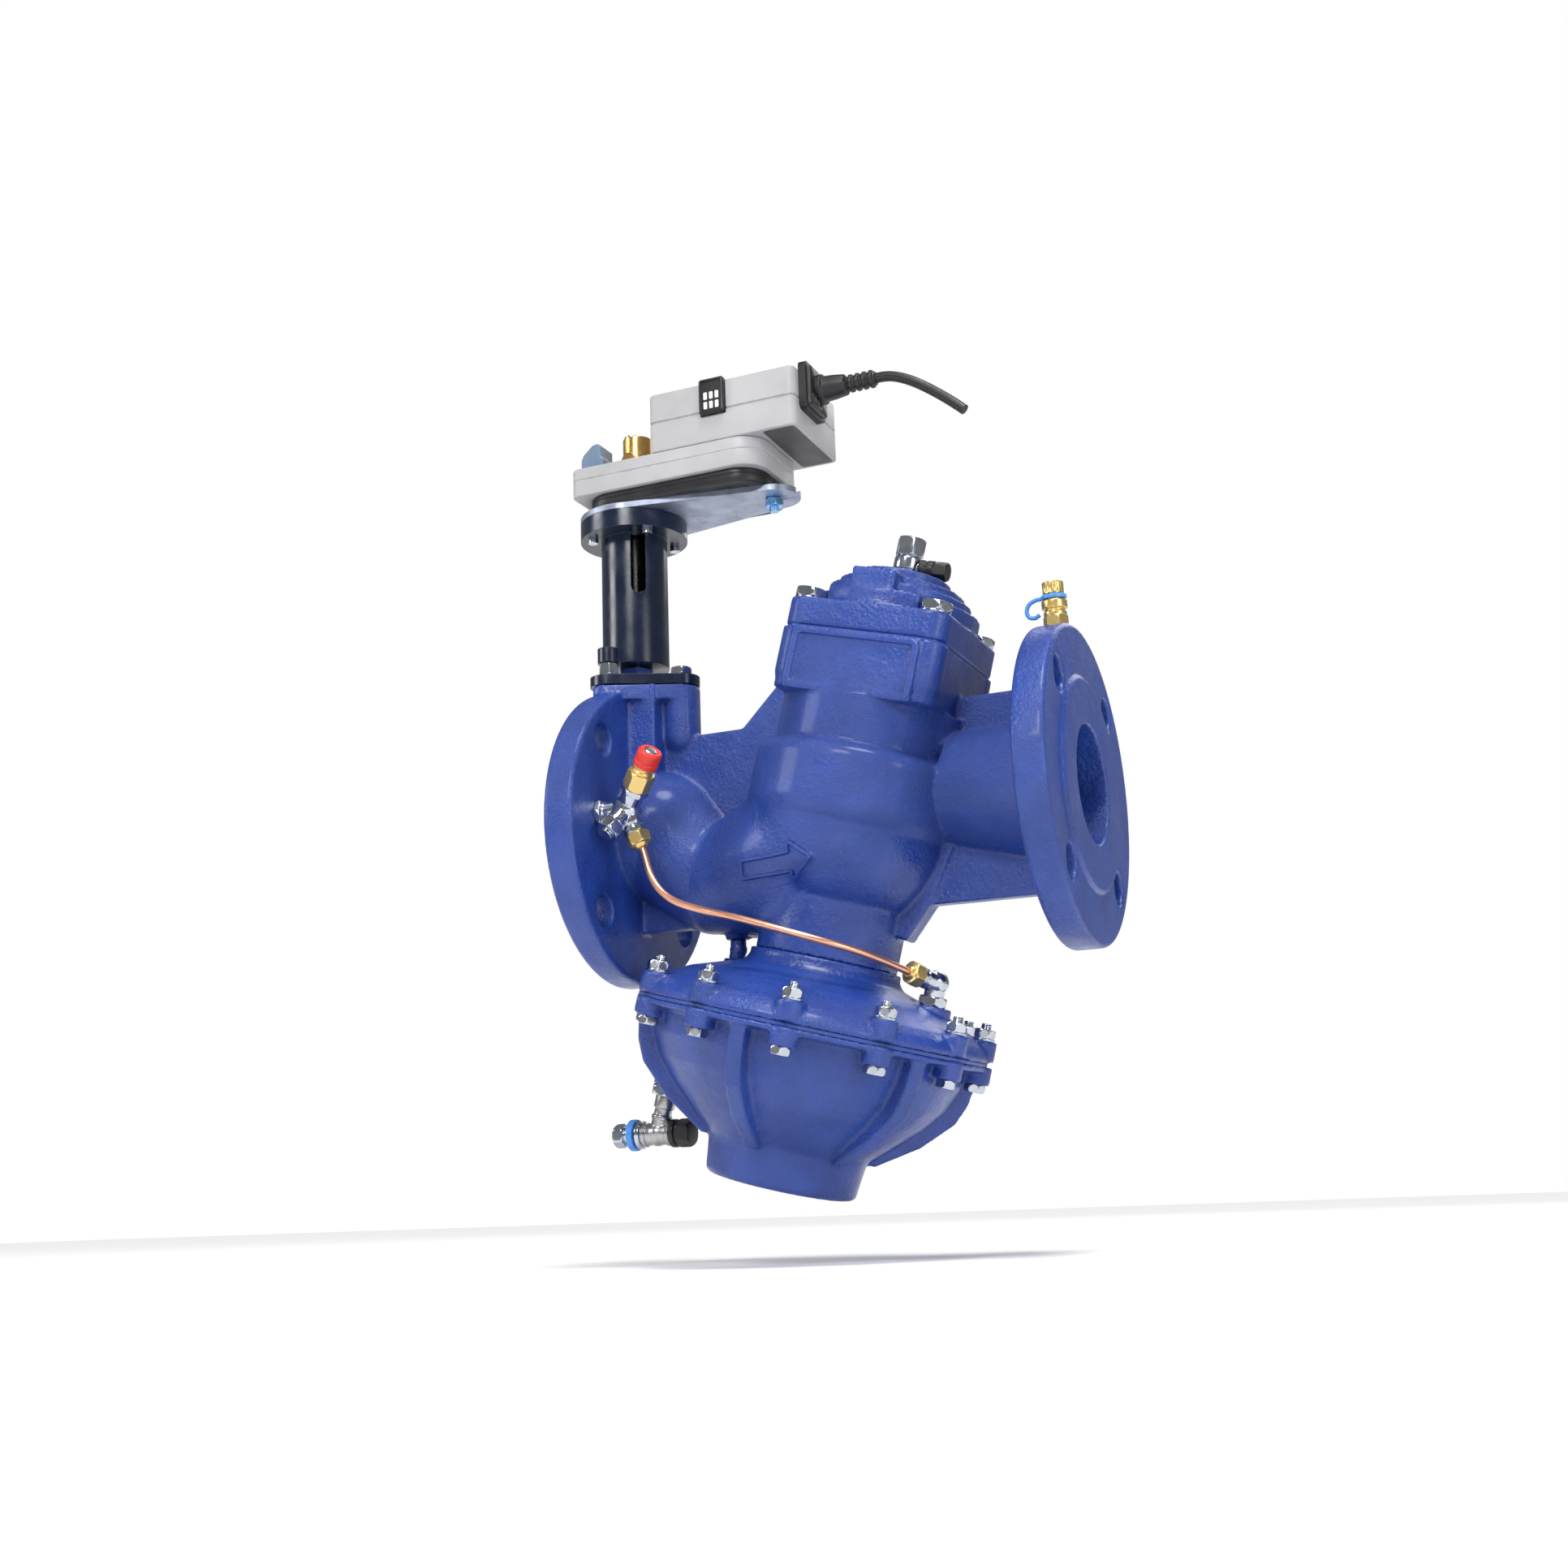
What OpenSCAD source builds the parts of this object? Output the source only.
// Pressure independent control valve, DN 65, with a diaphragm regulator and a rotary actuator.
// The origin is the centre of the inlet flange's raised face. The pipe runs along +X and +Z is up.
// The regulator's axis leans from the vertical, towards the outlet.

/* [Flanges] */
// Length over the two raised faces
face_to_face = 290; // [270:1:330]
// Outer diameter of each flange
flange_d = 175; // [172:1:185]
// Thickness of each flange without its raised face
flange_t = 18; // [16:0.5:22]
// Diameter of the raised face
face_d = 116; // [100:1:118]
// Height of the raised face
face_h = 2; // [1:0.5:3]
// Bore of the ports
port_d = 65; // [60:1:68]
// Bolt circle of each flange
bolt_circle_d = 140; // [138:1:145]
// Hole for a flange bolt
bolt_hole_d = 19; // [14:1:20]

/* [Casting] */
// Outer diameter of the pipe stub behind the inlet flange
pipe_d = 76; // [74:1:80]
// Place of the regulator's axis on the pipe's axis
regulator_x = 154; // [152:1:158]
// Lean of the regulator's axis from the vertical, in degrees
tilt = 15; // [12:0.5:16]
// Outer diameter of the lower bowl of the casting
bulb_d = 114; // [112:1:118]
// Wall of the lower bowl
bulb_wall = 7; // [5:0.5:9]
// Outer diameter of the band round the outlet chamber
band_d = 124; // [122:1:128]
// Wall of the band
band_wall = 7; // [5:0.5:9]
// Outer diameter of the neck above the band
upper_neck_d = 106.8; // [106:1:112]
// Outer diameter of the neck above the diaphragm housing
lower_neck_d = 80; // [76:1:84]
// Thickness of the stiffening webs
web_t = 10; // [8:1:12]
// Height of the webs' free edges above and below the pipe's axis
web_reach = 57; // [54:1:60]

/* [Bonnet] */
// Width of the square bonnet block
block_w = 96; // [94:1:100]
// Thickness of the cover's square flange
cover_flange_t = 16; // [13:0.5:18]
// Distance of the bonnet bolts from the axis, along each side
bonnet_bolt_at = 37.5; // [36:0.5:38]
// Shank diameter of the bonnet bolts
bonnet_bolt_d = 10; // [8:1:10]
// Clear opening that the regulator's plug is lifted through
bonnet_bore_d = 78; // [74:1:80]

/* [Diaphragm housing] */
// Outer diameter of the rim
rim_d = 197; // [196:1:206]
// Bolt circle of the rim
rim_bolt_circle_d = 187.6; // [186:0.2:190]
// Number of rim bolts
rim_bolt_n = 12; // [8:1:16]
// Shank diameter of the rim bolts
rim_bolt_d = 6; // [5:0.5:8]
// Thickness of the lip that carries the rim bolts, on each half
rim_t = 4; // [3:0.5:5]
// Depth of the lower bowl under the joint of the rim
bowl_depth = 87; // [84:1:94]
// Number of ribs on the bowl
bowl_rib_n = 6; // [4:1:8]
// Thickness of a rib
bowl_rib_t = 9; // [6:0.5:12]
// Diameter of the pocket that holds the spring
spring_pocket_d = 62; // [58:1:66]

/* [Regulator] */
// Diameter of the regulator's spindle
spindle_d = 12; // [10:0.5:14]
// Bore of the seat ring
seat_bore_d = 66; // [60:1:68]
// Travel of the regulator's plug
travel = 8; // [6:0.5:10]
// Wire of the spring
spring_wire_d = 5; // [4:0.5:6]
// Mean diameter of the spring's coils
spring_mean_d = 44; // [40:1:48]
// Number of the spring's coils
spring_coils = 6; // [4:1:8]

/* [Control head] */
// Place of the stem's axis on the pipe's axis
stem_x = 16; // [15:0.5:17]
// Diameter of the stem
stem_d = 10; // [8:0.5:12]
// Throat that the control disc closes
throat_d = 31; // [28:1:32]
// Thickness of the control disc
disc_t = 5; // [4:0.5:6]
// Outer diameter of the black adapter tube
tube_d = 40; // [38:1:44]
// Length of the adapter tube under its flange
tube_len = 81; // [70:1:100]
// Diameter of the adapter tube's flange
tube_flange_d = 65; // [60:1:70]

/* [Actuator] */
// Width of the actuator's housings
housing_w = 66; // [60:1:72]
// Length of the lower housing
lower_len = 125; // [115:1:135]
// Height of the lower housing
lower_h = 18; // [14:1:20]
// Height of the upper housing
upper_h = 37; // [30:1:42]
// Travel of the release button
button_travel = 3; // [2:0.5:4]

/* [Impulse line] */
// Outer diameter of the copper capillary
capillary_d = 4; // [4:0.5:8]

/* [Hidden] */
$fn = 64;

// Shared fits
cut = 1;             // overrun of every cut
run_fit = 0.05;      // radial clearance of a running fit
thread_gap = 0.15;   // radial clearance of a screw in its hole
gap = 0.3;           // clearance between parts that pass each other

// Paints and metals
blue = [0.20, 0.30, 0.66];
steel = [0.72, 0.73, 0.75];
chrome = [0.85, 0.86, 0.88];
brass = [0.80, 0.66, 0.30];
copper = [0.80, 0.50, 0.38];
black = [0.10, 0.10, 0.11];
grey = [0.76, 0.76, 0.76];
rubber = [0.15, 0.15, 0.15];
red = [0.85, 0.20, 0.20];
bright_blue = [0.20, 0.50, 0.85];

// Flanges and pipes
flange_r = flange_d / 2;
face_r = face_d / 2;
port_r = port_d / 2;
pipe_r = pipe_d / 2;
flange_full = flange_t + face_h;
bolt_n = 4;
flange_edge = 1.5;

// Regulator axis, heights along it from the pipe's axis
lean = [sin(tilt), 0, cos(tilt)];
across = [cos(tilt), 0, -sin(tilt)];
bulb_r = bulb_d / 2;
bulb_t = -12;                 // height of the bowl's centre
band_r = band_d / 2;
band_low = -15;
band_high = 31;
band_round_low = 14;
band_round_high = 9;
chamber_floor = -52;
partition_low = 0;
partition_high = 10;
chamber_top = 24;
upper_neck_r = upper_neck_d / 2;
lower_neck_r = lower_neck_d / 2;
lower_neck_end = -85;
neck_root = -40;
block_low = 58;
block_top = 92.5;
gasket_t = 1;
block_round = 11;
panel_w = 76;
panel_low = 57;
panel_h = 38;
panel_proud = 3;
panel_border = 4;
panel_depth = 2;
corner_boss_r = 11.5;
corner_boss_low = 68;
bonnet_bore_r = bonnet_bore_d / 2;
bonnet_hole_depth = 30;

// Duct from the inlet to the bowl
elbow_x = 31;                 // bend behind the inlet flange
dip = [66, 0, -32];           // lowest bend of the duct
dip_r = 29;
swell = [118, 0, -24];        // where the duct has swelled into the bowl
swell_r = 46;
duct_wall = 7;
skin_ease = 0.4;              // keeps a cone a hair inside its balls
skin_step = 0.4;              // keeps the bend a hair inside the pipe stub
mouth_depth = 5;
mouth_cone = 3;

// Duct from the band to the outlet
outlet_root = [212, 0, 6];
outlet_root_r = 31;
outlet_end_r = 40;
outlet_cone_x = 245;
chamber_port = [205, 0, 9];
chamber_port_r = 20;

// Webs and rib
left_web_rise_x = 87;
left_web_top = 81;
right_web_x = 196;
bowl_web_z = -63;
diag_rib_t = 15;
diag_rib = [[216, -18], [197, -57], [182, -76], [150, -60], [150, -18]];

// Flow arrow, raised on the duct and the bowl
arrow_from = [100, -34];
arrow_to = [149, -33];
arrow_head = 16;
arrow_half = 5.5;
arrow_head_half = 11.5;
arrow_proud = 1.6;
arrow_plane_y = -20;

// Head block over the stem
head_half_w = 19;
head_len = 21;
head_root = 10;
head_top = 88;
ear_t = 9;
ear_r = 11;
ear_reach = 30;               // right ear from the stem
ear_side = 20;                // left ears from the stem, across
ear_back = 8;                 // left ears from the stem, along
ear_boss_low = 58;
stuffing_d = 20;
stuffing_depth = 14;
stem_r = stem_d / 2;
throat_r = throat_d / 2;
disc_r = throat_r - gap;
trunnion_r = 4;
trunnion_len = 12;
stem_bite = 5;                // the stem's fork reaches over the disc's rim

// Control head above the casting
plate_lift = 0.5;
plate_t = 6;
plate_low = head_top + plate_lift;
plate_top = plate_low + plate_t;
gland_af = 19;
gland_h = 8;
gland_neck_r = stuffing_d / 2 - thread_gap;
gland_top = plate_top + gland_h;
tube_low = gland_top + 1;
tube_r = tube_d / 2;
tube_wall = 4;
tube_foot_t = 4;
tube_flange_t = 11;
tube_flange_low = tube_low + tube_len;
tube_top = tube_flange_low + tube_flange_t;
tube_slot_w = 9;
tube_slot_h = 38;
tube_ear_h = 9;
tube_ear_r = 6.5;
standoff_r = 6;
bolt_gland_d = 6;

// Bracket plate, base and housings
bracket_t = 3.5;
bracket_x = 94;               // round end from the stem
bracket_end_r = 16;
bracket_slot_w = 6.5;
bracket_inset = 0.2;          // straight sides inside the round ends
bracket_low = tube_top;
bracket_top = bracket_low + bracket_t;
base_h = 8.5;
base_inset = 3;
base_low = bracket_top;
base_top = base_low + base_h;
lower_left = 26;              // lower housing's end from the stem
lower_x = stem_x - lower_left;
lower_top = base_top + lower_h;
housing_round = 6;
lower_end_round = 16;
upper_x = stem_x + 28;
upper_len = 95;
upper_top = lower_top + upper_h;
upper_seam = lower_top + 18;
seam_w = 1;
seam_depth = 0.8;
upper_step_x = 78;
upper_step_h = 1.2;
edge_round = 4;
box_t = 7;
box_side = [-26, 4];          // the box sits towards the front
box_low = lower_top + 12;
box_high = upper_top + 5;
box_round = 4;
button_x = 35;                // button from the upper housing's end
button_w = 16;
button_h = 21;
button_depth = 7;
button_proud = 1.5;
spindle_top = lower_top + 28;
clamp_r = 9;
clamp_h = 24;
clamp_lift = 1;
clamp_nut_af = 8;
clamp_nut_t = 4;
clamp_shift = 3.5;             // the clamp is thicker on the side of the housings
end_stop_far = 26;
end_stop_near = 10;
end_stop_h = 17;
end_stop_inset = 4;
end_stop_bite = 2;
end_stop_round = 3;
end_stop_step = 7;
coupling_r = 11;
coupling_h = 26;
coupling_low = tube_low + 20;

// Cord of the actuator, from the strain relief's mouth
cable_d = 6;
relief_len = 36;
relief_r = 9;
relief_collar = 4;
relief_core_r = 4.2;
relief_ribs = 4;
relief_pitch = 4;
cable_y = -11;
cable_z = 253;
cable_x = upper_x + upper_len + box_t + relief_len;
cable_route = [
    [182, -11, 253], [187, -11, 252.9], [192, -11, 251.9], [197, -11, 250], [202, -11, 247.5],
    [207, -11, 244.4], [212, -11, 240.9], [217, -11, 237.1], [223, -11, 232.2], [229, -11, 227],
    [234, -11, 222.4]
];

// Diaphragm housing, heights along the regulator's axis
rim_joint = -123;
rim_r = rim_d / 2;
rim_bolt_r = rim_bolt_circle_d / 2;
rim_phase = 15;
rib_phase = 30;
rim_boss_r = 7.5;
rim_nut_af = 10;
rim_nut_h = 5;
rim_washer_t = 1.2;
rim_head_h = 4.5;
stud_tip = 3;
boss_rise = 13;
boss_drop = 11;
cover_top = lower_neck_end;
cover_collar_r = 42.5;
cover_hole_r = 12;
elbow_boss_at = 66;
elbow_boss_r = 11;
elbow_boss_top = -98;
elbow_boss_h = 8;
diaphragm_t = 2;
chamber_r = 84;
bowl_floor = 8;
bowl_boss_r = 44;
bowl_boss_taper = 2;
drain_at = 84;
drain_turn = -95;
drain_boss_r = 9;
drain_boss_low = -172;

// Regulator
spindle_r = spindle_d / 2;
seat_r = 37;
seat_lip_r = 39;
seat_lip_t = 2;
bush_r = 10;
bush_flange_r = 14;
bush_flange_t = 3;
plug_r = 36;
plug_t = 9;
plug_low = partition_high + seat_lip_t + travel + gap;
plates_r = 58;
plate_up_t = 4;
plate_down_t = 4;
spindle_nut_af = 19;
spindle_nut_low = -138;
spindle_low = -140;
spindle_high = 122;
guide_top = 126;
spring_top = rim_joint - diaphragm_t / 2 - plate_down_t - 1;
spring_bottom = rim_joint - bowl_depth + bowl_floor;

// Cover of the bonnet
cover_base = block_top + gasket_t;
cover_deck = cover_base + cover_flange_t;
disc_steps = [[47, 9.5], [41, 6], [36, 5], [27, 6.5]];
spigot_len = 12;
front_pad_w = 26;
front_pad_h = 21;
front_pad_out = 45;
bonnet_head_h = 6.4;
bonnet_head_af = 17;

module disc(r, low, high) {
    translate([0, 0, low]) cylinder(r = r, h = high - low);
}

module cone(r_low, r_high, low, high) {
    translate([0, 0, low]) cylinder(r1 = r_low, r2 = r_high, h = high - low);
}

module washer_ring(r_out, r_in, low, high) {
    difference() {
        disc(r_out, low, high);
        disc(r_in, low - cut, high + cut);
    }
}

module hexagon(af, low, high) {
    translate([0, 0, low]) cylinder(d = af / cos(30), h = high - low, $fn = 6);
}

module brick(x, y, z) {
    translate([x[0], y[0], z[0]]) cube([x[1] - x[0], y[1] - y[0], z[1] - z[0]]);
}

module tilted() {
    translate([regulator_x, 0, 0]) rotate([0, tilt, 0]) children();
}

module at_stem() {
    translate([stem_x, 0, 0]) children();
}

module along_x(x = 0) {
    translate([x, 0, 0]) rotate([0, 90, 0]) children();
}

module ring_of(n, r, phase = 0) {
    for (i = [0 : n - 1]) rotate([0, 0, phase + i * 360 / n]) translate([r, 0, 0]) children();
}

module at_corners(d) {
    for (x = [-d, d], y = [-d, d]) translate([x, y, 0]) children();
}

// Turns the children's own Z towards a direction
module toward(from, dir) {
    translate(from) rotate([0, acos(dir[2] / norm(dir)), atan2(dir[1], dir[0])]) children();
}

// Cone between two points
module link(a, b, r_a, r_b) {
    toward(a, b - a) cylinder(r1 = r_a, r2 = r_b, h = norm(b - a));
}

// Ball and the cone from it towards a second ball, a hair inside the cone that touches both
module skin_link(a, b, r_a, r_b) {
    slope = (r_a - r_b) / norm(b - a);
    shrink = sqrt(1 - slope * slope);
    way = unit(b - a);
    translate(a) sphere(r = r_a);
    link(a + way * r_a * slope, b + way * r_b * slope, (r_a - skin_ease) * shrink, (r_b - skin_ease) * shrink);
}

// Sweeps a circle along points with one polyhedron
function unit(v) = v / norm(v);
function heading(p, i) = unit(p[min(i + 1, len(p) - 1)] - p[max(i - 1, 0)]);
function side_of(d) = unit(cross(d, abs(d[1]) < 0.9 ? [0, 1, 0] : [0, 0, 1]));
function ring_points(c, d, r, sides) = [
    for (k = [0 : sides - 1])
        c + r * (cos(k * 360 / sides) * side_of(d) + sin(k * 360 / sides) * cross(d, side_of(d)))
];
module sweep(p, r, sides = 8) {
    n = len(p);
    points = [for (i = [0 : n - 1]) each ring_points(p[i], heading(p, i), r, sides)];
    walls = [
        for (i = [0 : n - 2], k = [0 : sides - 1], half = [0, 1])
            let (a = i * sides + k, b = i * sides + (k + 1) % sides)
            half == 0 ? [a, b, b + sides] : [a, b + sides, a + sides]
    ];
    caps = [
        for (k = [1 : sides - 2]) each [
            [0, k + 1, k],
            [(n - 1) * sides, (n - 1) * sides + k, (n - 1) * sides + k + 1]
        ]
    ];
    polyhedron(points, [for (f = concat(walls, caps)) [f[0], f[2], f[1]]]);
}

// Rounded path through a few points
function bend(a, b, c, s) = (1 - s) * (1 - s) * a + 2 * s * (1 - s) * b + s * s * c;
function smooth_path(p, steps = 4) = concat(
    [p[0]],
    [for (i = [1 : len(p) - 2], k = [0 : steps])
        bend((p[i - 1] + p[i]) / 2, p[i], (p[i] + p[i + 1]) / 2, k / steps)],
    [p[len(p) - 1]]
);

module rounded_square(w, r) {
    rounded_rect([-w / 2, w / 2], [-w / 2, w / 2], r);
}

module rounded_box(x, y, z, r) {
    translate([0, 0, z[0]]) linear_extrude(z[1] - z[0]) rounded_rect(x, y, r);
}

module rounded_rect(x, y, r) {
    translate([x[0] + r, y[0]]) square([x[1] - x[0] - 2 * r, y[1] - y[0]]);
    translate([x[0], y[0] + r]) square([x[1] - x[0], y[1] - y[0] - 2 * r]);
    for (u = [x[0] + r, x[1] - r], v = [y[0] + r, y[1] - r]) translate([u, v]) circle(r);
}

// Outline that wraps equal discs at the given centres, listed anticlockwise
module wrap(c, r) {
    n = len(c);
    polygon([
        for (i = [0 : n - 1]) let (
            a = c[i],
            b = c[(i + 1) % n],
            out = [b[1] - a[1], a[0] - b[0]] / norm(b - a) * r
        ) each [a + out, b + out]
    ]);
    for (q = c) translate(q) circle(r);
}

ear_centres = [[-ear_back, -ear_side], [ear_reach, 0], [-ear_back, ear_side]];

module flange_disc() {
    cone(flange_r - flange_edge, flange_r, face_h, face_h + flange_edge);
    disc(flange_r, face_h + flange_edge, flange_full - flange_edge);
    cone(flange_r, flange_r - flange_edge, flange_full - flange_edge, flange_full);
    disc(face_r, 0, face_h + cut);
}

// Flange with its back towards +Z
module flange_holes() {
    ring_of(bolt_n, bolt_circle_d / 2, 45) disc(bolt_hole_d / 2, -cut, flange_full + cut);
}

module facing_out() {
    translate([face_to_face, 0, 0]) rotate([0, -90, 0]) children();
}

module duct_skin(grow = 0) {
    difference() {
        skin_link([elbow_x, 0, 0], dip, pipe_r - skin_step + grow, dip_r + grow);
        brick([-flange_r, face_h], [-flange_r, flange_r], [-flange_r, flange_r]);
    }
    skin_link(dip, swell, dip_r + grow, swell_r + grow);
    translate(swell) sphere(r = swell_r + grow);
    tilted() translate([0, 0, bulb_t]) sphere(r = bulb_r + grow);
}

module band() {
    rotate_extrude() {
        square_low = band_low + band_round_low;
        square_high = band_high - band_round_high;
        translate([0, band_low]) square([band_r - band_round_low, band_high - band_low]);
        translate([0, square_low]) square([band_r, square_high - square_low]);
        translate([band_r - band_round_low, square_low]) circle(band_round_low);
        translate([band_r - band_round_high - cut, square_high]) square([cut, band_round_high]);
        translate([band_r - band_round_high, square_high]) circle(band_round_high);
    }
}

module bonnet_block() {
    translate([0, 0, block_low]) linear_extrude(block_top - block_low) rounded_square(block_w, block_round);
    cone(upper_neck_r, upper_neck_r, band_high - cut, block_low + cut);
    at_corners(bonnet_bolt_at) {
        disc(corner_boss_r, corner_boss_low, block_top);
        translate([0, 0, corner_boss_low]) sphere(r = corner_boss_r);
    }
    difference() {
        brick([-panel_w / 2, panel_w / 2], [-block_w / 2 - panel_proud, 0], [panel_low, block_top]);
        brick([-panel_w / 2 + panel_border, panel_w / 2 - panel_border],
            [-block_w / 2 - panel_proud - cut, -block_w / 2 - panel_proud + panel_depth],
            [panel_low + panel_border, block_top - panel_border]);
    }
}

module webs() {
    rotate([90, 0, 0]) {
        translate([0, 0, -web_t / 2]) linear_extrude(web_t) {
            polygon([
                [flange_full - cut, web_reach], [left_web_rise_x, web_reach],
                [left_web_rise_x + left_web_top - web_reach, left_web_top],
                [regulator_x, left_web_top], [regulator_x, 0], [flange_full - cut, 0]
            ]);
            polygon([
                [right_web_x, web_reach], [face_to_face - flange_full + cut, web_reach],
                [face_to_face - flange_full + cut, -web_reach], [right_web_x, -web_reach]
            ]);
            polygon([
                [flange_full - cut, -web_reach], [dip[0], -web_reach], [swell[0], bowl_web_z],
                [swell[0], 0], [flange_full - cut, 0]
            ]);
        }
        translate([0, 0, -diag_rib_t / 2]) linear_extrude(diag_rib_t) polygon(diag_rib);
    }
}

module head_block() {
    at_stem() {
        brick([0, head_len], [-head_half_w, head_half_w], [head_root, head_top]);
        translate([0, 0, head_top - ear_t]) linear_extrude(ear_t) wrap(ear_centres, ear_r);
        translate([ear_reach, 0, 0]) {
            disc(ear_r, ear_boss_low, head_top);
            translate([0, 0, ear_boss_low]) sphere(r = ear_r);
        }
    }
}

module arrow_prism() {
    dir = unit(arrow_to - arrow_from);
    out = [-dir[1], dir[0]];
    neck = arrow_to - dir * arrow_head;
    translate([0, arrow_plane_y, 0]) rotate([90, 0, 0]) linear_extrude(bulb_r) polygon([
        arrow_from + out * arrow_half, arrow_from - out * arrow_half, neck - out * arrow_half,
        neck - out * arrow_head_half, arrow_to, neck + out * arrow_head_half,
        neck + out * arrow_half
    ]);
}

module body_solid() {
    along_x() flange_disc();
    facing_out() flange_disc();
    along_x() disc(pipe_r, flange_full - cut, elbow_x);
    duct_skin();
    intersection() {
        arrow_prism();
        duct_skin(arrow_proud);
    }
    link(outlet_root, [face_to_face - flange_full + cut, 0, 0], outlet_root_r, outlet_end_r);
    tilted() {
        band();
        bonnet_block();
        disc(lower_neck_r, lower_neck_end, neck_root);
    }
    webs();
    translate([impulse_x, 0, 0]) rotate(45) disc(impulse_boss_r, impulse_boss_z, dip[2] - dip_r / 2);
    difference() {
        head_block();
        brick([-flange_r, face_h], [-flange_r, flange_r], [-flange_r, head_top + cut]);
    }
}

module body_cavities() {
    // Inlet mouth, throat and duct
    along_x() {
        disc(port_r, -cut, mouth_depth);
        cone(port_r, throat_r, mouth_depth, mouth_depth + mouth_cone);
        disc(throat_r, mouth_depth, elbow_x);
    }
    skin_link([elbow_x, 0, 0], dip, throat_r - skin_step, dip_r - duct_wall);
    translate(dip) sphere(r = dip_r - duct_wall);
    link(dip, swell, dip_r - duct_wall - skin_step, swell_r - 2 * duct_wall);
    tilted() {
        intersection() {
            translate([0, 0, bulb_t]) sphere(r = bulb_r - bulb_wall);
            disc(bulb_r, chamber_floor, partition_low);
        }
        disc(seat_r, partition_low - cut, partition_high + cut);
        disc(band_r - band_wall, partition_high, chamber_top);
        disc(bonnet_bore_r, chamber_top - cut, block_top + cut);
        disc(bush_r, lower_neck_end - cut, neck_root);
        at_corners(bonnet_bolt_at)
            disc(bonnet_bolt_d / 2 + thread_gap, block_top - bonnet_hole_depth, block_top + cut);
    }
    // Outlet
    facing_out() disc(port_r, -cut, face_to_face - outlet_cone_x);
    link([outlet_cone_x + gap, 0, 0], chamber_port, port_r - skin_step, chamber_port_r);
    // Stem, packing and trunnion
    at_stem() {
        disc(stem_r + run_fit, 0, head_top + cut);
        disc(stuffing_d / 2, head_top - stuffing_depth, head_top + cut);
        disc(trunnion_r + run_fit, -throat_r - trunnion_len - gap, 0);
        translate([ear_reach, 0, 0]) disc(bolt_gland_d / 2 + thread_gap, ear_boss_low, head_top + cut);
        for (y = [-ear_side, ear_side]) translate([-ear_back, y, 0])
            disc(bolt_gland_d / 2 + thread_gap, ear_boss_low, head_top + cut);
    }
    along_x() flange_holes();
    facing_out() flange_holes();
    at_outlet_tap() disc(tap_r + thread_gap, -tap_len - gap, cut);
    translate([0, inlet_tap_y, inlet_tap_z]) along_x()
        disc(tap_r + thread_gap, flange_full - tap_len - gap, flange_full + cut);
}

module valve_body() color(blue) difference() {
    body_solid();
    body_cavities();
}

module seat_ring() color(steel) tilted() difference() {
    union() {
        disc(seat_r - run_fit, partition_low, partition_high);
        disc(seat_lip_r, partition_high, partition_high + seat_lip_t);
    }
    disc(seat_bore_d / 2, partition_low - cut, partition_high + seat_lip_t + cut);
}

module guide_bush() color(brass) tilted() difference() {
    disc(bush_r - run_fit, lower_neck_end, neck_root - cut);
    disc(spindle_r + run_fit, lower_neck_end - cut, neck_root + cut);
}

module stem_packing() color(rubber) at_stem()
    washer_ring(stuffing_d / 2 - run_fit, stem_r + run_fit, head_top - stuffing_depth, head_top - stuffing_depth / 2);

module bonnet_gasket() color(rubber) tilted() difference() {
    translate([0, 0, block_top]) linear_extrude(gasket_t) rounded_square(block_w - gasket_t, block_round);
    disc(bonnet_bore_r, block_top - cut, cover_base + cut);
    at_corners(bonnet_bolt_at) disc(bonnet_bolt_d / 2 + gap, block_top - cut, cover_base + cut);
}

function step_base(i) = i == 0 ? cover_deck : step_base(i - 1) + disc_steps[i - 1][1];
cover_crown = step_base(len(disc_steps));

module bonnet_cover() color(blue) tilted() difference() {
    union() {
        translate([0, 0, cover_base]) linear_extrude(cover_flange_t) rounded_square(block_w, block_round);
        for (i = [0 : len(disc_steps) - 1]) disc(disc_steps[i][0], step_base(i) - cut, step_base(i + 1));
        brick([-front_pad_w / 2, front_pad_w / 2], [-front_pad_out, 0], [cover_deck - cut, cover_deck + front_pad_h]);
        disc(bonnet_bore_r - gap, cover_base - spigot_len, cover_base);
    }
    disc(spindle_r + run_fit, cover_base - spigot_len - cut, guide_top);
    disc(vent_r + thread_gap, guide_top - cut, cover_crown + cut);
    at_corners(bonnet_bolt_at) disc(bonnet_bolt_d / 2 + gap, cover_base - cut, cover_deck + cut);
    at_corners(bonnet_bolt_at) disc(bonnet_head_af / cos(30) / 2 + gap, cover_deck, cover_deck + front_pad_h);
}

module bonnet_bolts() color(chrome) tilted() at_corners(bonnet_bolt_at) {
    disc(bonnet_bolt_d / 2, block_top - bonnet_hole_depth + gap, cover_deck + cut);
    hexagon(bonnet_head_af, cover_deck, cover_deck + bonnet_head_h);
}

// Vent on the crown of the cover
vent_r = 5;
vent_len = 8;
vent_body_r = 8;
vent_body_h = 13;
vent_groove = 1;
vent_hex_af = 15;
vent_hex_h = 11;
vent_port_r = 4;
vent_port_len = 5;
vent_port_t = cover_crown + vent_body_h / 2;
vent_cap_r = 5.8;
vent_cap_len = 17;

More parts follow.
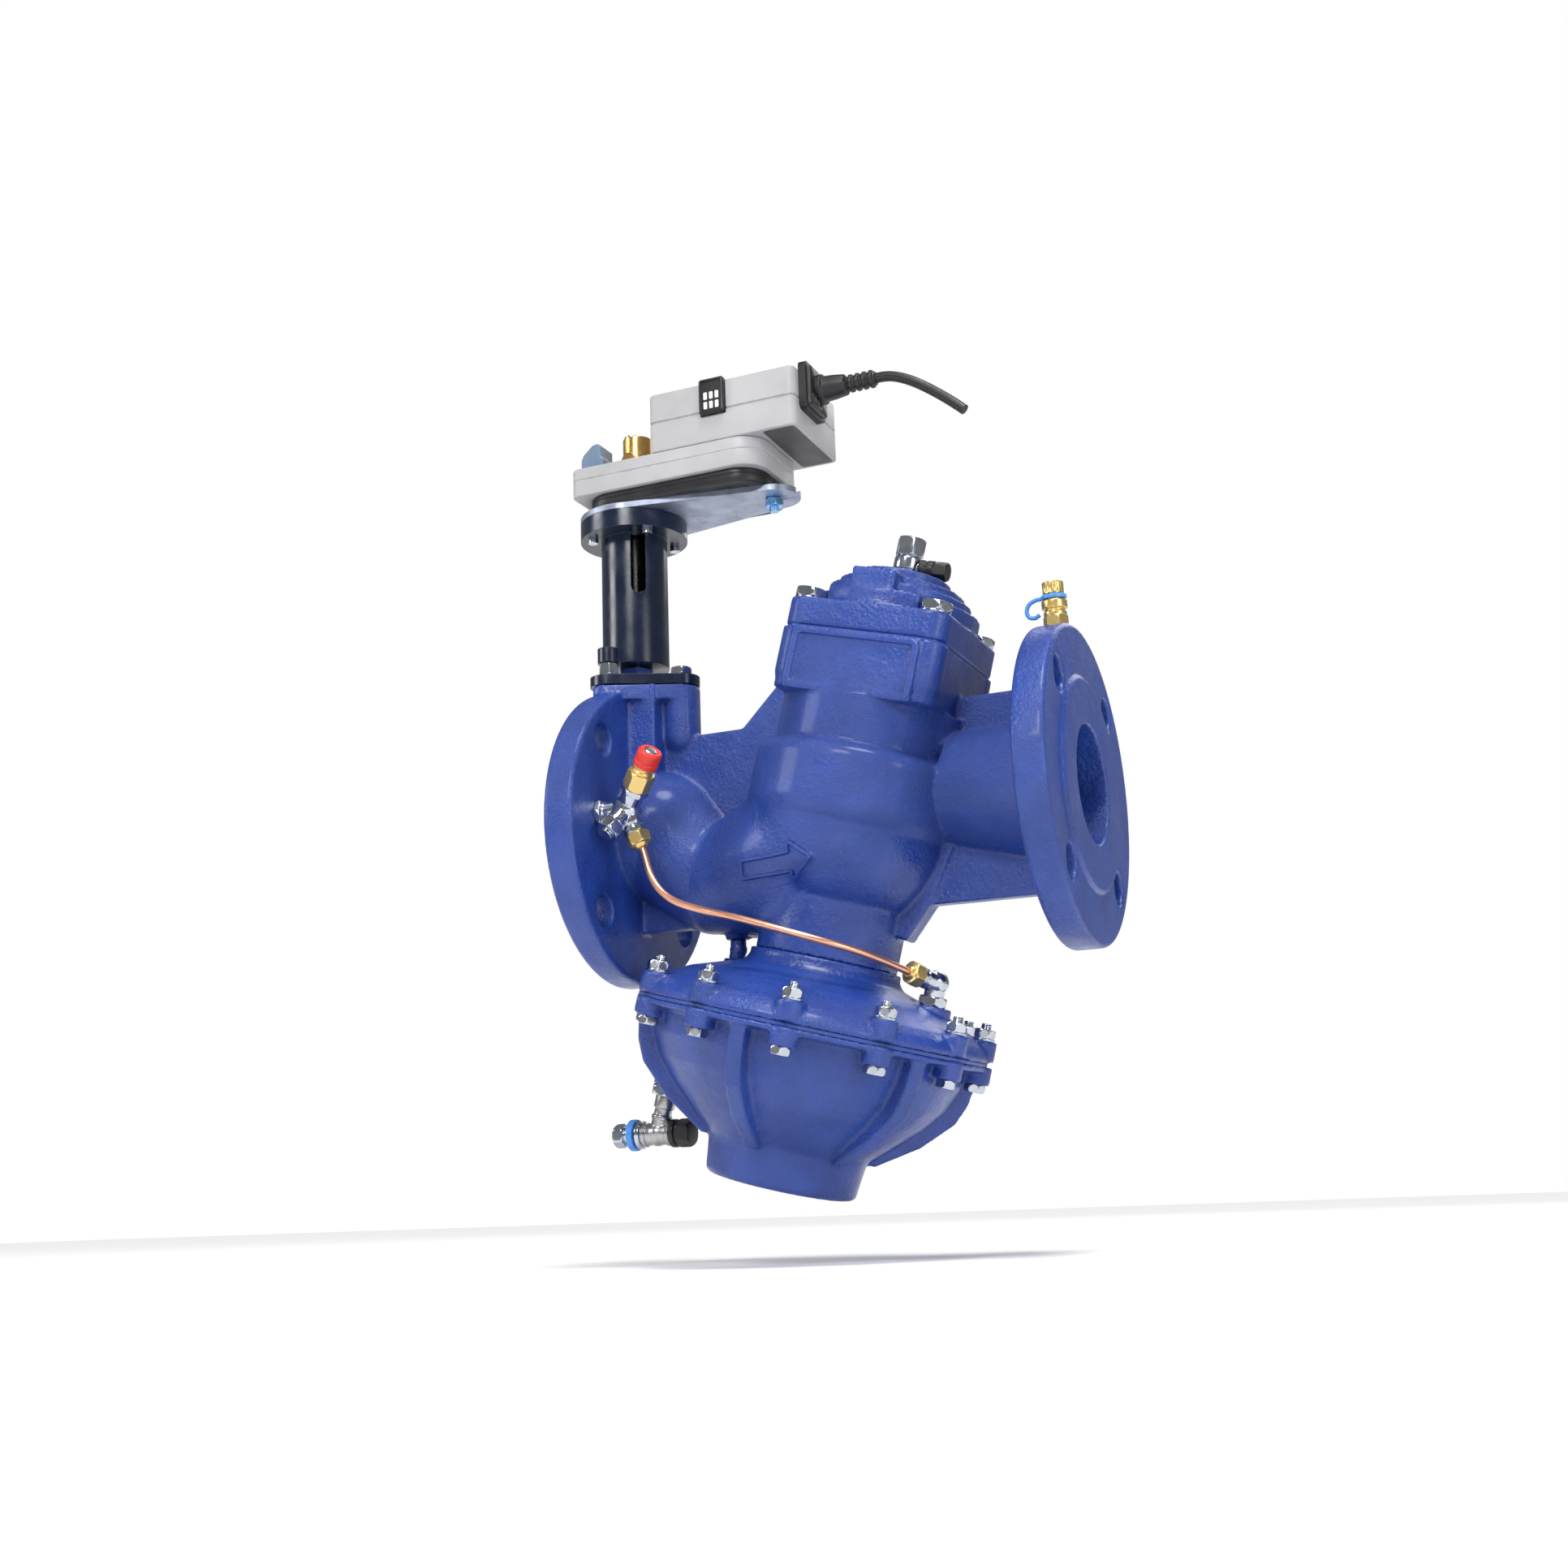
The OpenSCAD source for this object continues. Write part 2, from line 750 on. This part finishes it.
module vent_plug() color(chrome) tilted() difference() {
    union() {
        disc(vent_r, cover_crown - vent_len, cover_crown);
        disc(vent_body_r, cover_crown, cover_crown + vent_body_h - vent_groove);
        disc(vent_body_r - vent_groove, cover_crown, cover_crown + vent_body_h);
        hexagon(vent_hex_af, cover_crown + vent_body_h, cover_crown + vent_body_h + vent_hex_h);
        translate([0, 0, vent_port_t]) rotate([0, 90, 0]) disc(vent_port_r, 0, vent_body_r + vent_port_len);
    }
    disc(vent_r / 2, cover_crown - vent_len - cut, vent_port_t);
}

module vent_cap() color(black) tilted() translate([vent_body_r + gap, 0, vent_port_t]) rotate([0, 90, 0])
    difference() {
        union() {
            disc(vent_cap_r, 0, vent_cap_len / 2);
            hexagon(2 * vent_cap_r * cos(30), vent_cap_len / 2, vent_cap_len);
        }
        disc(vent_port_r + thread_gap, -cut, vent_port_len);
    }

// Test point on the outlet flange's rim
outlet_tap_x = face_to_face - flange_full / 2 - face_h;
tap_r = 5;
tap_len = 9;
outlet_tap_turn = 6;           // degrees from the top of the rim, towards the front
test_body_r = 7;
test_body_h = 15;
test_groove_r = 4.8;
test_groove_h = 3;
test_cap_r = 5.8;
test_cap_h = 10;
strap_r = 1.2;
strap_shares = [[-2, 0], [-2.3, -1], [-1.6, -1.2]];

module at_outlet_tap(lift = 0) {
    translate([outlet_tap_x, 0, 0]) rotate([outlet_tap_turn, 0, 0]) translate([0, 0, flange_r + lift]) children();
}

module outlet_test_point() color(brass) at_outlet_tap() {
    disc(tap_r, -tap_len, cut);
    disc(test_body_r, 0, test_body_h);
}

module outlet_test_cap() color(brass) at_outlet_tap(test_body_h) {
    disc(test_groove_r, 0, test_groove_h);
    disc(test_cap_r, test_groove_h, test_cap_h);
    cone(test_cap_r, test_groove_r - cut, test_cap_h, test_cap_h + cut);
}

module outlet_cap_strap() color(bright_blue) at_outlet_tap(test_body_h) {
    washer_ring(test_body_r, test_groove_r, gap, test_groove_h - gap);
    sweep(smooth_path([
        [-test_body_r + cut, 0, strap_r + gap],
        for (q = strap_shares) [q[0] * test_body_r, 0, q[1] * test_body_r],
        [-test_body_r - strap_r, 0, -test_body_r]
    ]), strap_r, 8);
}

// Tee on the back of the inlet flange
inlet_tap_y = -56;
inlet_tap_z = 5;
tee_stand = 18;
tee_x = flange_full + tee_stand;
tee_at = [tee_x, inlet_tap_y, inlet_tap_z];
tee_r = 6.5;
tee_ball_r = 8.5;
tee_up = [0.6, -0.4, 0.69];
tee_down = [0.36, 0.05, -0.93];
tee_back = [-0.3, -0.62, -0.72];
tee_up_len = 15;
tee_down_len = 15;
tee_back_len = 13.5;
tee_nut_af = 12;
tee_nut_len = 9;
tee_plug_len = 9;

module inlet_tee() color(chrome) difference() {
    union() {
        translate([0, inlet_tap_y, inlet_tap_z]) along_x() {
            disc(tap_r, flange_full - tap_len, flange_full);
            hexagon(2 * tee_r, flange_full, flange_full + tee_r / 2);
            disc(tee_r - cut, flange_full, tee_x);
        }
        translate(tee_at) sphere(r = tee_ball_r);
        toward(tee_at, tee_up) disc(tee_r, 0, tee_up_len);
        toward(tee_at, tee_up) hexagon(2.2 * tee_r, tee_up_len - tee_r / 2, tee_up_len);
        toward(tee_at, tee_down) disc(tee_r - cut, 0, tee_down_len);
        toward(tee_at, tee_back) disc(tee_r - cut, 0, tee_back_len);
    }
    toward(tee_at, tee_down) disc(capillary_r + gap, 0, tee_down_len + cut);
}

module inlet_test_point() color(brass) toward(tee_at, tee_up) {
    hexagon(2 * test_body_r, tee_up_len, tee_up_len + test_body_h);
}

module inlet_test_cap() color(red) toward(tee_at, tee_up) {
    disc(test_body_r + cut, tee_up_len + test_body_h, tee_up_len + test_body_h + test_groove_h);
    disc(test_body_r - cut, tee_up_len + test_body_h, tee_up_len + test_body_h + test_cap_h);
}

module inlet_tee_plug() color(chrome) toward(tee_at, tee_back) {
    hexagon(2 * (tee_r - cut), tee_back_len, tee_back_len + tee_plug_len);
}

// Capillary from the tee to the elbow on the diaphragm cover
capillary_r = capillary_d / 2;
elbow_axis = [elbow_boss_at, 0, elbow_boss_top];
elbow_stem_h = 13;
elbow_arm = [-0.42, -0.88, 0.24];
elbow_arm_len = 13;
elbow_r = 5.5;
elbow_ball_r = 7;
elbow_at = [regulator_x, 0, 0] + across * elbow_boss_at + lean * (elbow_boss_top + elbow_stem_h);
capillary_start = tee_at + unit(tee_down) * (tee_down_len - gap);
capillary_end = elbow_at + unit(elbow_arm) * (elbow_arm_len - gap);
capillary_stub = 11;
capillary_bends = [
    [54, -57.5, -36], [66, -60.5, -48.5], [86, -64, -57], [112, -68, -65], [150, -64, -78],
    [172, -46, -86]
];
capillary_route = concat(
    [capillary_start, capillary_start + unit(tee_down) * capillary_stub], capillary_bends,
    [capillary_end + unit(elbow_arm) * capillary_stub, capillary_end]
);

module capillary_tube() color(copper) sweep(smooth_path(capillary_route), capillary_r, 10);

module capillary_nuts() color(brass) {
    for (q = [[tee_at, tee_down, tee_down_len], [elbow_at, elbow_arm, elbow_arm_len]])
        toward(q[0], q[1]) difference() {
            hexagon(tee_nut_af, q[2], q[2] + tee_nut_len);
            disc(capillary_r + gap, q[2] - cut, q[2] + tee_nut_len + cut);
        }
}

module capillary_elbow() color(chrome) difference() {
    union() {
        tilted() translate([elbow_boss_at, 0, elbow_boss_top]) {
            disc(tap_r, -tap_len, 0);
            hexagon(2 * elbow_ball_r, 0, elbow_r);
            disc(elbow_r, 0, elbow_stem_h);
        }
        translate(elbow_at) sphere(r = elbow_ball_r);
        toward(elbow_at, elbow_arm) disc(elbow_r, 0, elbow_arm_len);
    }
    toward(elbow_at, elbow_arm) disc(capillary_r + gap, 0, elbow_arm_len + cut);
}

// Elbow between the casting's underside and the diaphragm cover
impulse_r = 4.5;
impulse_ball_r = 5;
impulse_boss_r = 7;
impulse_x = 78.5;
impulse_boss_z = -65.5;       // lower face of the casting's boss
impulse_foot_u = -54.5;       // place of the cover's boss, across the regulator's axis
impulse_foot_t = -94;         // upper face of the cover's boss
impulse_foot = [regulator_x, 0, 0] + across * impulse_foot_u + lean * impulse_foot_t;
impulse_bend = impulse_foot + lean * (impulse_x - impulse_foot[0]) / lean[0];

module impulse_elbow() color(blue) {
    link([impulse_x, 0, impulse_boss_z], impulse_bend, impulse_r, impulse_r);
    translate(impulse_bend) sphere(r = impulse_ball_r);
    link(impulse_bend, impulse_foot, impulse_r, impulse_r);
}

// Section of the cover's skin and of its hollow, as radius and height
cover_skin = [[73, -102], [91, -111], [96, -115]];
cover_hollow = [[66, -106]];
cover_rim_top = -119;
cover_hollow_top = -117;
cover_collar_h = 4;
cover_collar_foot = 3;
cover_deck_t = 10;
cover_hollow_r = 36;

module cover_profile() {
    polygon(concat(
        [[cover_hole_r, cover_top], [cover_collar_r, cover_top], [cover_collar_r, cover_top - cover_collar_h]],
        [[cover_collar_r + cover_collar_foot, cover_top - 2 * cover_collar_h]],
        cover_skin,
        [[rim_r, cover_rim_top], [rim_r, rim_joint + diaphragm_t / 2]],
        [[chamber_r, rim_joint + diaphragm_t / 2], [chamber_r, cover_hollow_top]],
        cover_hollow,
        [[cover_hollow_r, cover_top - cover_deck_t], [cover_hole_r, cover_top - cover_deck_t]]
    ));
}

module diaphragm_cover() color(blue) tilted() difference() {
    union() {
        rotate_extrude() cover_profile();
        ring_of(rim_bolt_n, rim_bolt_r, rim_phase)
            disc(rim_boss_r, rim_joint + diaphragm_t, rim_joint + boss_rise);
        translate([elbow_boss_at, 0, 0]) disc(elbow_boss_r, elbow_boss_top - elbow_boss_h, elbow_boss_top);
        translate([impulse_foot_u, 0, 0]) rotate(45) disc(impulse_boss_r, impulse_foot_t - impulse_boss_r, impulse_foot_t);
    }
    ring_of(rim_bolt_n, rim_bolt_r, rim_phase) {
        disc(rim_bolt_d / 2 + thread_gap, rim_joint, rim_joint + boss_rise + cut);
        disc(rim_boss_r + gap, rim_joint + boss_rise, cover_top);
    }
    translate([elbow_boss_at, 0, 0]) {
        disc(tap_r + thread_gap, elbow_boss_top - tap_len - gap, elbow_boss_top + cut);
        rotate(45) disc(elbow_boss_r + gap, elbow_boss_top, cover_top);
    }
    translate([impulse_foot_u, 0, 0]) rotate(45) disc(impulse_boss_r + gap, impulse_foot_t, cover_top);
}

rim_lip = 1;
bowl_outline = [
    [88, -128], [86, -140], [80, -153], [70, -165], [56, -178], [bowl_boss_r + 1, -188],
    [bowl_boss_r, -192]
];
bowl_hollow = [
    [chamber_r, -124], [chamber_r - 4, -131], [79, -142], [72, -154], [60, -166], [44, -178]
];

module bowl_profile() {
    bowl_low = rim_joint - bowl_depth;
    polygon(concat(
        [[0, bowl_low], [bowl_boss_r - 2 * bowl_boss_taper, bowl_low], [bowl_boss_r - bowl_boss_taper, bowl_low + bowl_boss_taper]],
        [for (i = [len(bowl_outline) - 1 : -1 : 0]) bowl_outline[i]],
        [[rim_r, rim_joint - rim_t], [rim_r, rim_joint - diaphragm_t / 2]],
        [[chamber_r, rim_joint - diaphragm_t / 2]],
        bowl_hollow,
        [[spring_pocket_d / 2, -184], [spring_pocket_d / 2, bowl_low + bowl_floor], [0, bowl_low + bowl_floor]]
    ));
}

bowl_rib = [
    [80, -127], [96, -127], [95, -138], [93, -148], [88, -159], [72, -175], [49, -190], [40, -190],
    [52, -176], [70, -160]
];

module diaphragm_bowl() color(blue) tilted() difference() {
    union() {
        rotate_extrude() bowl_profile();
        ring_of(bowl_rib_n, 0, rib_phase) rotate([90, 0, 0])
            translate([0, 0, -bowl_rib_t / 2]) linear_extrude(bowl_rib_t) polygon(bowl_rib);
        ring_of(rim_bolt_n, rim_bolt_r, rim_phase)
            disc(rim_boss_r, rim_joint - boss_drop, rim_joint - diaphragm_t / 2);
        rotate([0, 0, drain_turn - 90]) translate([drain_at, 0, 0])
            disc(drain_boss_r, drain_boss_low, rim_joint - rim_t);
    }
    ring_of(rim_bolt_n, rim_bolt_r, rim_phase) {
        disc(rim_bolt_d / 2 + thread_gap, rim_joint - boss_drop - cut, rim_joint);
        disc(rim_boss_r - rim_lip, rim_joint - boss_drop - rim_head_h - cut, rim_joint - boss_drop);
    }
    rotate([0, 0, drain_turn - 90]) translate([drain_at, 0, 0])
        disc(tap_r + thread_gap, drain_boss_low - cut, drain_boss_low + tap_len + gap);
}

module rim_bolts() color(chrome) tilted() ring_of(rim_bolt_n, rim_bolt_r, rim_phase) {
    disc(rim_bolt_d / 2, rim_joint - boss_drop - cut,
        rim_joint + boss_rise + rim_washer_t + rim_nut_h + stud_tip);
    hexagon(rim_nut_af, rim_joint - boss_drop - rim_head_h, rim_joint - boss_drop);
}

module rim_nuts() color(chrome) tilted() ring_of(rim_bolt_n, rim_bolt_r, rim_phase) difference() {
    union() {
        disc(rim_nut_af / 2 + rim_lip, rim_joint + boss_rise, rim_joint + boss_rise + rim_washer_t);
        hexagon(rim_nut_af, rim_joint + boss_rise, rim_joint + boss_rise + rim_washer_t + rim_nut_h);
    }
    disc(rim_bolt_d / 2 + thread_gap, rim_joint, rim_joint + boss_rise + rim_washer_t + rim_nut_h + cut);
}

module diaphragm() color(rubber) tilted() difference() {
    disc(rim_r - rim_lip, rim_joint - diaphragm_t / 2, rim_joint + diaphragm_t / 2);
    disc(spindle_r + gap, rim_joint - diaphragm_t, rim_joint + diaphragm_t);
    ring_of(rim_bolt_n, rim_bolt_r, rim_phase)
        disc(rim_bolt_d / 2 + thread_gap, rim_joint - diaphragm_t, rim_joint + diaphragm_t);
}

spring_pitch = (spring_top - spring_bottom - spring_wire_d) / spring_coils;
echo("least gap between the spring's coils", spring_pitch - spring_wire_d);

module regulator_spring() color(steel) tilted() {
    steps = 12;
    sweep([
        for (i = [0 : spring_coils * steps]) [
            spring_mean_d / 2 * cos(i * 360 / steps), spring_mean_d / 2 * sin(i * 360 / steps),
            spring_bottom + spring_wire_d / 2 + i * spring_pitch / steps
        ]
    ], spring_wire_d / 2, 6);
}

module regulator_spindle() color(steel) tilted() disc(spindle_r, spindle_low, spindle_high - travel / 2);

module regulator_plug() color(steel) tilted() difference() {
    union() {
        disc(plug_r, plug_low, plug_low + plug_t);
        disc(spindle_d, plug_low, plug_low + 2 * plug_t);
    }
    disc(spindle_r + run_fit, plug_low - cut, plug_low + 2 * plug_t + cut);
}

module diaphragm_plates() color(steel) tilted() {
    washer_ring(plates_r, spindle_r + run_fit, rim_joint + diaphragm_t / 2, rim_joint + diaphragm_t / 2 + plate_up_t);
    washer_ring(plates_r, spindle_r + run_fit, rim_joint - diaphragm_t / 2 - plate_down_t, rim_joint - diaphragm_t / 2);
}

module spindle_nut() color(steel) tilted() difference() {
    hexagon(spindle_nut_af, spindle_nut_low, rim_joint - diaphragm_t / 2 - plate_down_t);
    disc(spindle_r + run_fit, spindle_low, rim_joint);
}

// Drain and test fitting under the rim
drain_hex_af = 17;
drain_hex_h = 6;
drain_body_h = 15;
drain_neck_r = 6;
drain_body_r = 7;
drain_half = 9;
drain_ring_t = 3;
drain_collar_t = 4;
drain_plug_len = 12;
drain_cap_len = 9;
drain_tee_t = drain_boss_low - drain_hex_h - drain_body_h - drain_body_r;
drain_centre = [regulator_x, drain_at * sin(-drain_turn - 90), 0] - across * drain_at * cos(drain_turn + 90)
    + lean * drain_tee_t;
drain_way = [1, 0, 0];

module at_drain() {
    tilted() rotate([0, 0, drain_turn - 90]) translate([drain_at, 0, 0]) children();
}

module drain_bush() color(chrome) at_drain() {
    disc(tap_r, drain_boss_low - cut, drain_boss_low + tap_len);
    hexagon(drain_hex_af, drain_boss_low - drain_hex_h, drain_boss_low);
}

module drain_tee() color(steel) {
    at_drain() disc(drain_neck_r, drain_tee_t, drain_boss_low - drain_hex_h);
    toward(drain_centre, drain_way) disc(drain_body_r, -drain_half, drain_half);
}

module drain_test_plug() color(chrome) toward(drain_centre, drain_way) {
    disc(drain_body_r + rim_lip, -drain_half - drain_ring_t, -drain_half);
    disc(drain_neck_r, -drain_half - drain_plug_len, -drain_half);
    hexagon(2 * drain_neck_r, -drain_half - drain_plug_len - drain_hex_h, -drain_half - drain_plug_len);
}

module drain_cap() color(black) toward(drain_centre, drain_way) {
    disc(drain_body_r + rim_lip, drain_half, drain_half + drain_collar_t);
    hexagon(2 * drain_body_r, drain_half + drain_collar_t, drain_half + drain_collar_t + drain_cap_len);
}

module drain_strap() color(bright_blue) toward(drain_centre, drain_way)
    washer_ring(drain_body_r + 2 * rim_lip, drain_neck_r + thread_gap, -drain_half - 2 * drain_collar_t, -drain_half - drain_collar_t);

module gland_plate() color(black) at_stem() difference() {
    translate([0, 0, plate_low]) linear_extrude(plate_t) wrap(ear_centres, ear_r);
    disc(gland_neck_r + thread_gap, plate_low - cut, plate_top + cut);
    for (q = ear_centres) translate([q[0], q[1], 0]) disc(bolt_gland_d / 2 + thread_gap, plate_low - cut, plate_top + cut);
}

module gland_nut() color(steel) at_stem() difference() {
    union() {
        disc(gland_neck_r, head_top - stuffing_depth / 2, plate_top);
        hexagon(gland_af, plate_top, gland_top);
    }
    disc(stem_r + run_fit, head_top - stuffing_depth, gland_top + cut);
}

module gland_bolts() color(chrome) at_stem() {
    for (y = [-ear_side, ear_side]) translate([-ear_back, y, 0]) {
        disc(bolt_gland_d / 2, ear_boss_low + gap, plate_top);
        hexagon(2 * standoff_r - 1, plate_top, tube_low);
    }
    translate([ear_reach, 0, 0]) {
        disc(bolt_gland_d / 2, ear_boss_low + gap, plate_top + cut);
        hexagon(2 * standoff_r, plate_top, plate_top + standoff_r);
    }
}

stem_room = 4;
tube_slot_turn = 34;

module adapter_tube() color(black) at_stem() difference() {
    union() {
        disc(tube_r, tube_low, tube_flange_low);
        disc(tube_flange_d / 2, tube_flange_low, tube_top);
        for (y = [-ear_side, ear_side]) translate([-ear_back, y, 0]) disc(tube_ear_r, tube_low, tube_low + tube_ear_h);
    }
    disc(tube_r - tube_wall, tube_low + tube_foot_t, tube_top + cut);
    disc(stem_r + stem_room / 2, tube_low, tube_top);
    rotate(tube_slot_turn) translate([0, -tube_r, tube_flange_low - tube_slot_h + tube_slot_w / 2]) rotate([90, 0, 0])
        translate([0, 0, -tube_wall - cut]) linear_extrude(2 * tube_wall + 2 * cut) {
            circle(d = tube_slot_w);
            translate([-tube_slot_w / 2, 0]) square([tube_slot_w, tube_slot_h - tube_slot_w / 2 - gap]);
        }
}

tube_screw_n = 4;
tube_screw_r = 3;
tube_screw_t = 3;

module tube_screws() color(chrome) at_stem() ring_of(tube_screw_n, tube_r + 2 * tube_screw_r, 45) {
    disc(tube_screw_r, tube_flange_low - tube_screw_t, tube_flange_low);
}

module bracket_plate() color(steel) at_stem() difference() {
    turn = asin((tube_flange_d / 2 - bracket_end_r) / bracket_x);
    wide = tube_flange_d / 2 - bracket_inset;
    end = bracket_end_r - bracket_inset;
    union() {
        disc(tube_flange_d / 2, bracket_low, bracket_top);
        translate([bracket_x, 0, 0]) disc(bracket_end_r, bracket_low, bracket_top);
        translate([0, 0, bracket_low]) linear_extrude(bracket_t) polygon([
            [wide * sin(turn), wide * cos(turn)],
            [bracket_x + end * sin(turn), end * cos(turn)],
            [bracket_x + end * sin(turn), -end * cos(turn)],
            [wide * sin(turn), -wide * cos(turn)]
        ]);
    }
    disc(tube_r - tube_wall, bracket_low - cut, bracket_top + cut);
    translate([bracket_x, 0, 0]) {
        disc(bracket_slot_w / 2 + run_fit, bracket_low - cut, bracket_top + cut);
        brick([0, bracket_end_r + cut], [-bracket_slot_w / 2, bracket_slot_w / 2], [bracket_low - cut, bracket_top + cut]);
    }
}

bracket_bolt_r = 3;
bracket_bolt_af = 10;
bracket_bolt_end = 8;
bracket_nut_t = 5;

module anti_rotation_bolt() color(chrome) at_stem() translate([bracket_x, 0, 0]) {
    disc(bracket_bolt_r, bracket_low - bracket_bolt_end, base_low + base_h / 2);
    hexagon(bracket_bolt_af, bracket_low - bracket_nut_t, bracket_low);
}

module actuator_base() color(black) difference() {
    rounded_box([lower_x + 2 * base_inset, lower_x + lower_len - base_inset],
        [-housing_w / 2 + base_inset, housing_w / 2 - base_inset], [base_low, base_top], 3 * housing_round);
    at_stem() disc(tube_r - tube_wall, base_low - cut, base_top + cut);
    at_stem() translate([bracket_x, 0, 0]) disc(bracket_bolt_r + thread_gap, base_low - cut, base_low + base_h / 2 + gap);
}

module lower_housing() color(grey) difference() {
    union() {
        rounded_box([lower_x, lower_x + lower_len - 2 * lower_end_round], [-housing_w / 2, housing_w / 2],
            [base_top, lower_top], housing_round);
        rounded_box([lower_x + lower_len / 2, lower_x + lower_len], [-housing_w / 2, housing_w / 2],
            [base_top, lower_top], lower_end_round);
    }
    at_stem() disc(stem_r + stem_room, base_top - cut, lower_top + cut);
}

module upper_housing() color(grey) difference() {
    union() {
        rounded_box([upper_x, upper_x + upper_len], [-housing_w / 2, housing_w / 2], [lower_top, upper_top], edge_round);
        rounded_box([upper_x + upper_step_x, upper_x + upper_len], [-housing_w / 2, housing_w / 2],
            [upper_top - cut, upper_top + upper_step_h], edge_round);
    }
    difference() {
        brick([upper_x - cut, upper_x + upper_len + cut], [-housing_w, housing_w],
            [upper_seam, upper_seam + seam_w]);
        brick([upper_x + seam_depth, upper_x + upper_len - seam_depth],
            [-housing_w / 2 + seam_depth, housing_w / 2 - seam_depth], [upper_seam - cut, upper_seam + 2 * cut]);
    }
    brick([upper_x + button_x - gap, upper_x + button_x + button_w + gap],
        [-housing_w / 2 - cut, -housing_w / 2 + button_depth + button_travel + gap],
        [upper_top - button_h - gap, upper_top + 2 * cut]);
}

module release_button() color(black) {
    brick([upper_x + button_x, upper_x + button_x + button_w],
        [-housing_w / 2 - button_proud - button_travel / 2, -housing_w / 2 + button_depth],
        [upper_top - button_h, upper_top + upper_step_h]);
}

module connection_box() color(black) translate([upper_x + upper_len, 0, 0]) rotate([90, 0, 90]) linear_extrude(box_t)
    rounded_rect(box_side, [box_low, box_high], box_round);

relief_step = 1.5;
relief_rib_h = 1.2;

module strain_relief() color(black) translate([upper_x + upper_len + box_t, cable_y, cable_z]) rotate([0, 90, 0]) {
    disc(relief_r, 0, relief_collar);
    cone(relief_r - relief_step, relief_r - 2 * relief_step, relief_collar, relief_len / 2);
    disc(relief_core_r, relief_collar, relief_len);
    for (i = [0 : relief_ribs - 1])
        disc(relief_core_r + relief_rib_h, relief_len / 2 + relief_pitch / 2 + i * relief_pitch,
            relief_len / 2 + relief_pitch + i * relief_pitch);
}

module actuator_cable() color(black) sweep(cable_route, cable_d / 2, 8);

module end_stop() color([0.45, 0.55, 0.66]) at_stem() difference() {
    rounded_box([-lower_left + end_stop_inset, -clamp_r + end_stop_bite], [-end_stop_far, -end_stop_near],
        [lower_top, lower_top + end_stop_h], end_stop_round);
    brick([-lower_left, -lower_left + end_stop_step + end_stop_round], [-end_stop_far - cut, cut],
        [lower_top + 2 * end_stop_h / 3, lower_top + end_stop_h + cut]);
}

module stem() color(steel) at_stem() {
    difference() {
        disc(stem_r, disc_r - stem_bite, spindle_top);
        brick([-disc_t / 2 - thread_gap, disc_t / 2 + thread_gap], [-stem_d, stem_d],
            [0, disc_r + thread_gap]);
    }
}

module control_disc() color(steel) at_stem() {
    along_x() disc(disc_r, -disc_t / 2, disc_t / 2);
    disc(trunnion_r, -throat_r - trunnion_len, -disc_r + cut);
}

module stem_coupling() color(steel) at_stem() washer_ring(coupling_r, stem_r + run_fit, coupling_low, coupling_low + coupling_h);

module spindle_clamp() color(brass) at_stem() difference() {
    translate([clamp_shift, 0, 0]) disc(clamp_r, lower_top + clamp_lift, lower_top + clamp_lift + clamp_h);
    disc(stem_r + run_fit, lower_top, spindle_top + cut);
}

module clamp_nuts() color(brass) at_stem() {
    for (side = [-1, 1]) translate([clamp_shift, side * clamp_r, lower_top + clamp_lift + clamp_h / 3])
        rotate([-90 * side, 0, 0]) hexagon(clamp_nut_af, thread_gap, clamp_nut_t);
}

valve_body();
seat_ring();
guide_bush();
stem_packing();
bonnet_gasket();
bonnet_cover();
bonnet_bolts();
vent_plug();
vent_cap();
outlet_test_point();
outlet_test_cap();
outlet_cap_strap();
inlet_tee();
inlet_test_point();
inlet_test_cap();
inlet_tee_plug();
capillary_nuts();
capillary_tube();
capillary_elbow();
impulse_elbow();
diaphragm_cover();
diaphragm_bowl();
rim_bolts();
rim_nuts();
diaphragm();
regulator_spring();
drain_bush();
drain_tee();
drain_cap();
drain_test_plug();
drain_strap();
gland_plate();
gland_nut();
gland_bolts();
adapter_tube();
tube_screws();
bracket_plate();
anti_rotation_bolt();
actuator_base();
lower_housing();
upper_housing();
connection_box();
strain_relief();
actuator_cable();
end_stop();
stem();
control_disc();
stem_coupling();
spindle_clamp();
clamp_nuts();
release_button();
regulator_spindle();
regulator_plug();
diaphragm_plates();
spindle_nut();
